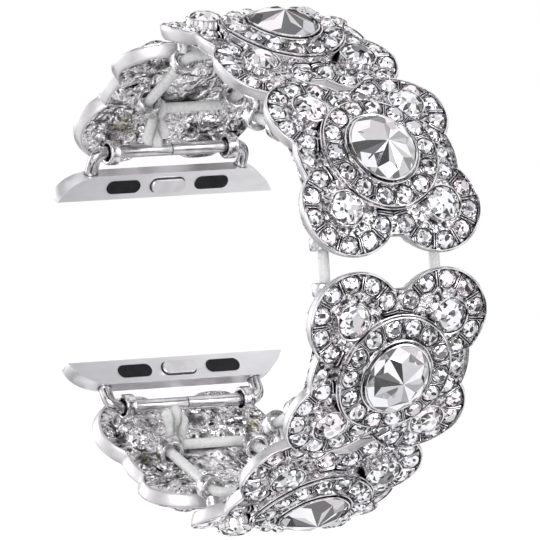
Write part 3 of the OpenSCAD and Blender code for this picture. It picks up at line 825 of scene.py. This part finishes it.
def knot_shell(place, across, down, seed):
    """The knot that closes an elastic loop: two wraps round the strand and three frayed tails."""
    shell = Shell()
    place, across, down = (np.asarray(v, float) for v in (place, across, down))
    side = np.cross(across, down)
    for shift, lean in KNOT_WRAPS:
        ring = [place + across * (shift + lean * math.sin(t))
                + (down * math.cos(t) + side * math.sin(t)) * WRAP_R
                for t in np.arange(20) * 2 * math.pi / 20]
        shell.add(*tube(ring, WRAP_THICK, 10, closed=True))
    rng = random.Random(seed)
    for lead, spread, length, wide in KNOT_TAILS:
        path, radii = [], []
        for t in np.arange(11) / 10:
            path.append(place + across * (lead + spread * t * t) + down * (0.4 + length * t)
                        + side * (0.25 * math.sin(2.6 * t + spread)))
            fray = 0.07 * rng.uniform(-1, 1)
            radii.append(wide * (0.75 + 0.45 * t - 0.35 * t ** 6) + fray)
        shell.add(*tube(path, radii, 10, flat=0.5))
    return shell


# The painted shade of the gap round a lock button: how far outside it, how deep in the face, and
# half its thickness
GAP_ASIDE, GAP_DEEP, GAP_R = 0.06, 0.03, 0.1


def button_gap_shade(sign):
    """The painted shade of the gap round a lock button: a thin dark ring on the lug's tilted face.
    """
    radius, straight = BUTTON_W / 2 + GAP_ASIDE, (BUTTON_L - BUTTON_W) / 2
    tilt, x = LUG_TILT, LUG_FACE - GAP_DEEP
    loop = []
    for k in range(48):
        t = 2 * math.pi * k / 48
        y = radius * math.cos(t) + (straight if math.cos(t) > 0 else -straight)
        z = BUTTON_Z + radius * math.sin(t)
        loop.append((HINGE[0] + x * math.cos(tilt) + z * math.sin(tilt), y,
                     sign * (HINGE[1] - x * math.sin(tilt) + z * math.cos(tilt))))
    shell = Shell()
    shell.add(*tube(loop, GAP_R, 8, closed=True), flip=sign < 0)
    return shell


# Materials


class Nodes:
    """The nodes of one material or world."""

    def __init__(self, owner, empty=True):
        owner.use_nodes = True
        self.tree = owner.node_tree
        if empty:
            self.tree.nodes.clear()

    def feed(self, socket, value):
        """Links a socket to an output or sets it to a constant; a colour may be (r, g, b)."""
        if isinstance(value, bpy.types.NodeSocket):
            self.tree.links.new(value, socket)
        elif socket.type == "RGBA" and len(value) == 3:
            socket.default_value = (*value, 1)
        else:
            socket.default_value = value

    def new(self, kind, inputs=None, **settings):
        """A node and its inputs, which are named or numbered."""
        node = self.tree.nodes.new("ShaderNode" + kind)
        for name, value in settings.items():
            setattr(node, name, value)
        for name, value in (inputs or {}).items():
            self.feed(node.inputs[name], value)
        return node

    def ramp(self, value, *stops, blend="LINEAR"):
        """stops are (place, grey) or (place, (r, g, b))."""
        node = self.new("ValToRGB", {"Fac": value})
        node.color_ramp.interpolation = blend
        elements = node.color_ramp.elements
        while len(elements) < len(stops):
            elements.new(0.5)
        for element, (place, tone) in zip(elements, stops):
            element.position = place
            element.color = (*tone, 1) if isinstance(tone, tuple) else (tone, tone, tone, 1)
        return node.outputs["Color"]

    def mix(self, factor, a, b, way="MIX"):
        node = self.new("Mix", data_type="RGBA", blend_type=way)
        for socket, value in zip([s for s in node.inputs if s.enabled], (factor, a, b)):
            self.feed(socket, value)
        return next(s for s in node.outputs if s.enabled)

    def seen_rays(self):
        """1 for what the camera, a reflection or a clear piece shows, and 0 for plain light."""
        path = self.new("LightPath").outputs
        total = path["Is Camera Ray"]
        for name in ("Is Glossy Ray", "Is Transmission Ray"):
            total = self.new("Math", {0: total, 1: path[name]}, operation="MAXIMUM").outputs[0]
        return total


class Look(Nodes):
    """One material of the part and its Principled shader. Texture sizes are in millimetres.

    colour and roughness stand for the nodes' own where those aren't read.
    """

    def __init__(self, name, colour, roughness, metallic=1.0, others=None):
        self.material = bpy.data.materials.new(name)
        super().__init__(self.material, empty=False)
        self.shader = self.tree.nodes["Principled BSDF"]
        constants = {"Base Color": (*colour, 1), "Roughness": roughness, "Metallic": metallic,
                     "IOR": 1.5, **(others or {})}
        for socket, value in constants.items():
            self.shader.inputs[socket].default_value = value
        self.place = self.new("TexCoord").outputs["Object"]

    def link(self, output, socket):
        self.tree.links.new(output, self.shader.inputs[socket])

    def stretched(self, size):
        """Coordinates in which a texture repeats over a length, or over one each along X, Y, Z."""
        sizes = size if isinstance(size, tuple) else (size,) * 3
        scale = [1 / (s * MM) for s in sizes]
        return self.new("Mapping", {"Vector": self.place, "Scale": scale}).outputs["Vector"]

    def noise(self, size, detail=3.0, rough=0.55, twist=0.0):
        return self.new("TexNoise", {"Vector": self.stretched(size), "Scale": 1.0,
                                     "Detail": detail, "Roughness": rough,
                                     "Distortion": twist}).outputs["Fac"]

    def colour(self, value, low, high, ends=(0.3, 0.7)):
        """The colour goes from low to high with a texture."""
        self.link(self.ramp(value, (ends[0], low), (ends[1], high)), "Base Color")

    def painted_crevice_shade(self, tone, dark, distance, ends):
        """The colour: tone where the surface is open, and dark deep in a crevice as painted shade,
        found by ambient occlusion.
        """
        node = self.new("AmbientOcclusion", {"Distance": distance * MM}, samples=6)
        crevice = self.ramp(node.outputs["AO"], (ends[0], 0.0), (ends[1], 1.0))
        self.link(self.mix(crevice, dark, tone), "Base Color")

    def skin(self, value, low, high, *relief):
        """Roughness goes from low to high with a texture; relief is textures, each with its
        strength and its depth in millimetres. Returns the finished material."""
        self.link(self.ramp(value, (0.3, low), (0.7, high)), "Roughness")
        normal = None
        for height, strength, depth in relief:
            node = self.new("Bump", {"Strength": strength, "Distance": depth * MM,
                                     "Height": height})
            if normal:
                self.feed(node.inputs["Normal"], normal)
            normal = node.outputs["Normal"]
            self.link(normal, "Normal")
        return self.material

    def tilted(self, size, lean):
        """Small flat cells, each leaning its own way, as under-facets show through a cut stone."""
        cells = self.new("TexVoronoi", {"Vector": self.stretched(size), "Scale": 1.0})
        value = cells.outputs["Color"]
        normal = self.new("NewGeometry").outputs["Normal"]
        for operation, inputs in (("SUBTRACT", {1: (0.5, 0.5, 0.5)}), ("SCALE", {"Scale": lean}),
                                  ("ADD", {1: normal}), ("NORMALIZE", {})):
            node = self.new("VectorMath", {0: value, **inputs}, operation=operation)
            value = node.outputs["Vector"]
        self.link(value, "Normal")


def polished_cast():
    look = Look("cast_polished", (0.80, 0.81, 0.83), 0.14)
    tone = look.ramp(look.noise(2.6, 4), (0.35, (0.80, 0.78, 0.80)), (0.65, (0.95, 0.93, 0.945)))
    # Crevices painted darker as shade
    look.painted_crevice_shade(tone, (0.05, 0.05, 0.055), 0.5, (0.30, 0.72))
    return look.skin(look.noise(0.7, 5), 0.07, 0.20, (look.noise(0.5, 4), 0.25, 0.06),
                     (look.noise((0.25, 2.4, 0.25), 2), 0.06, 0.02))


def rough_cast():
    """The unpolished back: bright swellings with dark crevices, file marks and a few stains."""
    look = Look("cast_rough", (0.80, 0.80, 0.79), 0.25)
    lumps = look.noise(2.4, 2, 0.5, 0.5)
    fine = look.noise(0.9, 3, 0.5, 0.4)
    # The tone follows the lumps, grains and file lines that also make the relief, darker in its
    # hollows: partly the cast's own dark pits, partly painted shade
    tone = look.ramp(lumps, (0.32, (0.16, 0.155, 0.16)), (0.39, (0.60, 0.585, 0.595)),
                     (0.45, (0.92, 0.905, 0.915)), (0.52, (1.0, 0.985, 0.995)))
    tone = look.mix(look.ramp(fine, (0.33, 0.0), (0.38, 1.0)), (0.12, 0.12, 0.12), tone)
    lines = look.noise((0.22, 2.2, 0.9), 3, 0.6, 1.0)
    filed = look.ramp(look.noise(4.5, 2), (0.50, 0.0), (0.58, 1.0))
    marks = look.mix(filed, (1.0, 1.0, 1.0), look.ramp(lines, (0.42, 0.16), (0.50, 1.0)))
    tone = look.mix(1.0, tone, marks, "MULTIPLY")
    stain = look.ramp(look.noise(5.0, 3), (0.62, 0.0), (0.72, 0.6))
    tone = look.mix(stain, tone, (0.44, 0.41, 0.24))
    # Crevices painted darker as shade
    look.painted_crevice_shade(tone, (0.04, 0.04, 0.04), 1.0, (0.18, 0.52))
    return look.skin(fine, 0.06, 0.20, (lumps, 1.0, 1.5), (fine, 0.5, 0.2),
                     (look.mix(1.0, lines, filed, "MULTIPLY"), 0.4, 0.12))


def wall_cast():
    """The side wall: pale satin plate with a soft, slightly uneven skin."""
    look = Look("cast_satin_wall", (0.85, 0.84, 0.85), 0.42)
    tone = look.ramp(look.noise(3.2, 4), (0.35, (0.70, 0.685, 0.70)), (0.65, (0.84, 0.825, 0.835)))
    # Crevices painted darker as shade
    look.painted_crevice_shade(tone, (0.3, 0.29, 0.3), 0.5, (0.15, 0.6))
    return look.skin(look.noise(0.8, 4), 0.36, 0.5, (look.noise(0.9, 5), 0.22, 0.06))


def seat_shadow():
    """The narrow gap beside a stone's girdle, painted nearly black as its shade."""
    look = Look("seat_gap", (0.05, 0.05, 0.05), 0.5, metallic=0.6)
    look.colour(look.noise(0.6, 3), (0.015, 0.015, 0.016), (0.10, 0.10, 0.11), (0.35, 0.7))
    grains = look.noise(0.3, 3)
    return look.skin(grains, 0.35, 0.6, (grains, 0.3, 0.03))


def recess():
    """The floor between the stones: bright metal cut up by small dark marks."""
    look = Look("cast_recess", (0.6, 0.6, 0.61), 0.22)
    marks = look.noise(0.5, 3, 0.55, 0.6)
    # The tone follows the marks that also make the relief, darkest in their pits: partly the
    # floor's own cast texture, partly painted shade
    tone = look.ramp(marks, (0.40, (0.03, 0.03, 0.032)), (0.46, (0.26, 0.25, 0.26)),
                     (0.52, (0.68, 0.67, 0.68)), (0.62, (0.95, 0.95, 0.96)))
    # Crevices painted darker as shade
    look.painted_crevice_shade(tone, (0.05, 0.05, 0.052), 0.4, (0.25, 0.62))
    return look.skin(look.noise(0.4, 3), 0.12, 0.3, (marks, 0.8, 0.2))


def bright_cast(name, low, high, dark):
    """Bright uneven metal of the eyes and loops; low and high are its roughness."""
    look = Look(name, (0.85, 0.85, 0.86), (low + high) / 2)
    tone = look.ramp(look.noise(1.0, 4), (0.36, (dark, dark * 0.98, dark)),
                     (0.48, (0.70, 0.685, 0.70)), (0.62, (0.96, 0.945, 0.955)))
    # Crevices painted darker as shade
    look.painted_crevice_shade(tone, (0.07, 0.07, 0.07), 0.6, (0.2, 0.65))
    return look.skin(look.noise(0.5, 3), low, high, (look.noise(0.6, 4), 0.5, 0.15))


def crystal(name, tone, cell, lean):
    """A facet of foiled cut glass, its tone a painted reflection: a clear flash, broken up by
    facets that show from below.
    """
    look = Look(name, (tone, tone, tone * 1.02), 0.05, metallic=0.92)
    tint = look.ramp(look.noise(3.0, 2), (0.38, (tone, tone * 0.93, tone * 0.965)),
                     (0.48, (tone, tone, tone)), (0.60, (tone * 0.95, tone * 0.95, tone)))
    look.link(tint, "Base Color")
    look.tilted(cell, lean)
    return look.skin(look.noise(0.5, 2), 0.02, 0.09)


def foil():
    """The mirror backing on the underside of a stone."""
    look = Look("mirror_foil", (0.5, 0.5, 0.52), 0.1)
    look.colour(look.noise(1.6, 2), (0.30, 0.30, 0.31), (0.60, 0.60, 0.61))
    return look.material


def clear_cord():
    """Milky clear elastic, which scatters light inside."""
    look = Look("clear_elastic", (0.97, 0.97, 0.97), 0.28, metallic=0.0, others={
        "IOR": 1.42, "Transmission Weight": 0.12, "Subsurface Weight": 0.8,
        "Subsurface Radius": (1.6 * MM, 1.6 * MM, 1.7 * MM), "Subsurface Scale": 1.0})
    look.colour(look.noise(1.1, 3), (0.93, 0.94, 0.95), (1.0, 1.0, 1.0))
    return look.skin(look.noise(0.6, 3), 0.2, 0.38, (look.noise(1.3, 2), 0.1, 0.05))


def satin_alloy():
    """The lug: pale metal brushed along its length."""
    look = Look("satin_alloy", (0.90, 0.90, 0.92), 0.4, others={"Anisotropic": 0.3})
    lines = look.noise((0.06, 3.0, 0.06), 3, 0.5)
    tone = look.ramp(look.noise((0.9, 3.0, 0.9), 3), (0.3, (0.91, 0.90, 0.925)),
                     (0.7, (0.98, 0.97, 0.99)))
    # Crevices painted darker as shade
    look.painted_crevice_shade(tone, (0.12, 0.12, 0.13), 0.45, (0.3, 0.78))
    return look.skin(lines, 0.34, 0.46, (lines, 0.12, 0.01))


def drawn_steel(name, along, low, high, dark, pale):
    """Drawn wire or tube, its lines along the size that is longest; low and high are roughness."""
    look = Look(name, (0.84, 0.85, 0.87), (low + high) / 2)
    lines = look.noise(along, 3)
    tone = look.ramp(look.noise(1.8, 3), (0.36, (dark, dark * 0.98, dark)),
                     (0.64, (pale, pale * 0.98, pale)))
    # Crevices painted darker as shade
    look.painted_crevice_shade(tone, (0.14, 0.14, 0.15), 0.4, (0.3, 0.75))
    return look.skin(lines, low, high, (lines, 0.2, 0.015))


def rubber():
    """The pads: nearly black, finely grained and dull."""
    look = Look("pad_rubber", (0.010, 0.010, 0.011), 0.6, metallic=0.0,
                others={"Specular IOR Level": 0.25})
    grains = look.noise(0.22, 4)
    look.colour(look.noise(1.4, 3), (0.006, 0.006, 0.007), (0.016, 0.016, 0.018))
    return look.skin(grains, 0.48, 0.72, (grains, 0.35, 0.03))


def facets(start, reflection_tones, cell, lean):
    """The bright, grey and dark facets of a kind of stone: copies of one glass, with painted
    reflections.
    """
    return [crystal(f"{start}_{name}", tone, cell, lean)
            for name, tone in zip(("bright", "grey", "dark"), reflection_tones)]


CAST = [polished_cast(), rough_cast(), wall_cast(), seat_shadow(), recess()]
# The hinge loops get a darker copy of the eyes' metal: its darker tone is painted shade
EYE_METALS = [bright_cast("eye_metal", 0.12, 0.28, 0.35),
              bright_cast("shaded_loop_metal", 0.10, 0.30, 0.14)]
FOIL = foil()
# The stones' bright, grey and dark facet materials are painted reflection
SMALL_STONE = facets("crystal", (0.98, 0.68, 0.24), 0.55, 0.5) + [FOIL]
LARGE_STONE = facets("large_crystal", (0.97, 0.66, 0.19), 2.2, 0.12) + [FOIL]
CORD = clear_cord()


# The dressed part


def dress(obj, body, slot, *nodes):
    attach(obj, body)
    if nodes:
        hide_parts(*nodes)


CASTING = casting_shell()
for i in LINKS:
    body = f"link_{i}"
    cast = Shell()
    cast.add(to_row(i, CASTING.points), CASTING.faces, CASTING.mats, flip=i > 3)
    dress(cast.build(f"{body}_cast_shell", CAST, sharp=38), body, "casting", f"{body}_casting")
    upper_eyes, eyes = eyes_of(upper_number(i)), Shell()
    eyes.add(mirrored(i, upper_eyes.points), upper_eyes.faces, upper_eyes.mats, flip=i > 3)
    dress(eyes.build(f"{body}_eyes", EYE_METALS, sharp=50), body, "casting", f"{body}_casting")
    for node, kind in STONES.items():
        looks = LARGE_STONE if node == "centre_stone" else SMALL_STONE
        piece = stones_on(i, *kind).build(f"{body}_{node}_cut", looks, smooth=False)
        dress(piece, body, "stones", f"{body}_{node}")


def add_cord(node, corners, seed):
    """One loop of elastic, which stretches between the eyes of two links."""
    cord = elastic_shell(corners, seed).build(f"{node}_cord", [CORD])
    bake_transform(cord)
    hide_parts(node)


# Each junction but the front one: its node, its eyes, which half it is in, and its links
JUNCTIONS = (("elastic_1_2", "1_low", "2_high", 1, "link_2", "link_1"),
             ("elastic_2_3", "2_low", "3_high", 1, "link_3", "link_2"),
             ("elastic_4_5", "2_low", "3_high", -1, "link_4", "link_5"),
             ("elastic_5_6", "1_low", "2_high", -1, "link_5", "link_6"))
for k, (node, low, high, half, near, far) in enumerate(JUNCTIONS):
    corners = [(x, y, half * z) for x, y, z in elastic_route(low, high)]
    add_cord(node, corners, k)
    if low == "1_low":
        place = (corners[1][0], KNOT_Y, corners[1][2])
        knot = knot_shell(place, (0, 1, 0), (0, 0, -half), k).build(f"{node}_knot", [CORD])
        dress(knot, far, "elastic")

(front_x, front_z), y = EYES["3_low"]
tall = front_z + (EYE_LEN / 2 + CORD_D)
corners = [(front_x, -y, tall), (front_x, -y, -tall), (front_x, y, -tall), (front_x, y, tall)]
add_cord("elastic_3_4", corners, 9)

# The adapters' nodes keep their CAD shape: a material, and how wide their edges are rounded
ADAPTER = {
    "lug": (satin_alloy(), 0.12),
    "horn_left": (drawn_steel("horn_steel", (0.8, 0.8, 0.3), 0.10, 0.24, 0.38, 0.78), 0.08),
    "sleeve_left": (drawn_steel("sleeve_steel", (0.15, 2.5, 0.15), 0.16, 0.30, 0.60, 0.82), 0.06),
    "pin": (drawn_steel("pin_steel", (0.2, 1.2, 0.2), 0.12, 0.25, 0.70, 0.88), 0.03),
    "pad_left": (rubber(), 0.06),
    "lock_button": (drawn_steel("button_steel", (0.9, 2.5, 0.9), 0.3, 0.4, 0.80, 0.92), 0.1),
    "lock_spring": (drawn_steel("spring_steel", (0.2, 1.5, 0.2), 0.2, 0.3, 0.70, 0.88), 0.03),
}
for half, sign in (("upper", 1), ("lower", -1)):
    for part, (look, soft) in ADAPTER.items():
        for name in sorted({part, part.replace("left", "right")}):
            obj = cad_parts[f"{half}_{name}"]
            obj.data.materials.clear()
            obj.data.materials.append(look)
            weld = obj.modifiers.new("weld", "WELD")
            weld.merge_threshold = 0.002 * MM
            bevel = obj.modifiers.new("edges", "BEVEL")
            bevel.width = soft * MM
            bevel.segments = 3
            bevel.limit_method = "ANGLE"
            bevel.angle_limit = math.radians(40)
            bevel.harden_normals = True
    # A dark ring round each lock button: painted shade of its gap
    dress(button_gap_shade(sign).build(f"{half}_button_gap_shade", [CAST[GAP_SHADE]]), f"{half}_adapter", "lug")

# Floor, light and camera

# Low enough for the lower links when every joint is opened to its limit
FLOOR_DROP = 18.5 * MM
FLOOR_HALF = 6.0
floor_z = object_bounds()[0][2] - FLOOR_DROP
floor_mesh = bpy.data.meshes.new("floor")
floor_mesh.from_pydata([(x * FLOOR_HALF, y * FLOOR_HALF, floor_z)
                        for x, y in ((-1, -1), (1, -1), (1, 1), (-1, 1))], [], [(0, 1, 2, 3)])
floor = bpy.data.objects.new("floor", floor_mesh)
bpy.context.scene.collection.objects.link(floor)
floor.visible_glossy = False
floor.visible_transmission = False

floor_look = bpy.data.materials.new("floor_white")
nodes = Nodes(floor_look)
plain = nodes.new("BsdfDiffuse", {"Color": (0.72, 0.72, 0.72)})
half_seen = nodes.new("Math", {0: nodes.seen_rays(), 1: 0.5}, operation="MULTIPLY")
glow = nodes.new("Emission", {"Strength": half_seen.outputs[0]})
both = nodes.new("AddShader", {0: plain.outputs[0], 1: glow.outputs[0]})
nodes.new("OutputMaterial", {"Surface": both.outputs[0]})
floor_mesh.materials.append(floor_look)

# The world: plain light, white for the camera, and pale and dark cards for reflections to show.
# The cards are the same above and below, so that the mirrored lower links shine as the upper do
CARD_SCALE = 3.1
CARD_TONES = ((0.0, 0.03), (0.14, 0.26), (0.25, 0.65), (0.35, 1.0))
world = bpy.data.worlds.new("studio")
bpy.context.scene.world = world
nodes = Nodes(world)
way = nodes.new("SeparateXYZ", {0: nodes.new("TexCoord").outputs["Generated"]}).outputs
height = nodes.new("Math", {0: way["Z"]}, operation="ABSOLUTE").outputs[0]
folded = nodes.new("CombineXYZ", {"X": way["X"], "Y": way["Y"], "Z": height}).outputs[0]
cells = nodes.new("TexVoronoi", {"Vector": folded, "Scale": CARD_SCALE}).outputs["Color"]
cards = nodes.ramp(nodes.new("SeparateColor", {0: cells}).outputs[0],
                   *((place, (tone, tone, tone * 1.01)) for place, tone in CARD_TONES),
                   blend="CONSTANT")
camera_ray = nodes.new("LightPath").outputs["Is Camera Ray"]
plain = nodes.new("Background", {"Color": (0.78, 0.78, 0.79), "Strength": 1.0})
shown = nodes.new("Background", {"Color": nodes.mix(camera_ray, cards, (1.0, 1.0, 1.0)),
                                 "Strength": 1.0})
pick = nodes.new("MixShader", {0: nodes.seen_rays(), 1: plain.outputs[0], 2: shown.outputs[0]})
nodes.new("OutputWorld", {"Surface": pick.outputs[0]})

# Softboxes: place in metres and power in watts
LAMPS = {"key": ((0.5, -0.5, 0.14), 1.6), "fill": ((0.6, 0.3, 0.12), 0.9),
         "back": ((-0.5, -0.25, 0.14), 0.6)}
for name, (place, power) in LAMPS.items():
    lamp = bpy.data.lights.new(name, "AREA")
    lamp.shape = "RECTANGLE"
    lamp.size, lamp.size_y = 0.4, 0.3
    lamp.energy = power
    obj = bpy.data.objects.new(name, lamp)
    obj.location = place
    obj.rotation_euler = Vector(place).to_track_quat("Z", "Y").to_euler()
    bpy.context.scene.collection.objects.link(obj)

# The camera that was fitted to the photograph: turn round the band, roll, distance in metres,
# scale, frame, how far the band is off the picture's centre in pixels, and sensor in millimetres
VIEW_TURN = math.radians(30.1)
VIEW_ROLL = math.radians(3.58)
VIEW_DISTANCE = 1.3
PIXELS_PER_MM = 9.17
PICTURE = 540
SHIFT_RIGHT = 10.7 / PIXELS_PER_MM * MM
SHIFT_UP = 0.54 / PIXELS_PER_MM * MM
SENSOR = 36
camera_data = bpy.data.cameras.new("camera")
camera_data.sensor_width = SENSOR
camera_data.lens = PIXELS_PER_MM / MM * VIEW_DISTANCE * SENSOR / PICTURE
camera = bpy.data.objects.new("camera", camera_data)
bpy.context.scene.collection.objects.link(camera)
back = Vector((math.cos(VIEW_TURN), -math.sin(VIEW_TURN), 0))
level_right = Vector((math.sin(VIEW_TURN), math.cos(VIEW_TURN), 0))
up_axis = Vector((0, 0, 1))
right = level_right * math.cos(VIEW_ROLL) - up_axis * math.sin(VIEW_ROLL)
up = level_right * math.sin(VIEW_ROLL) + up_axis * math.cos(VIEW_ROLL)
spot = back * VIEW_DISTANCE - right * SHIFT_RIGHT - up * SHIFT_UP
stand = Matrix((right, up, back)).transposed().to_4x4()
stand.translation = spot
camera.matrix_world = stand
bpy.context.scene.camera = camera
bpy.context.scene.view_settings.view_transform = "Standard"
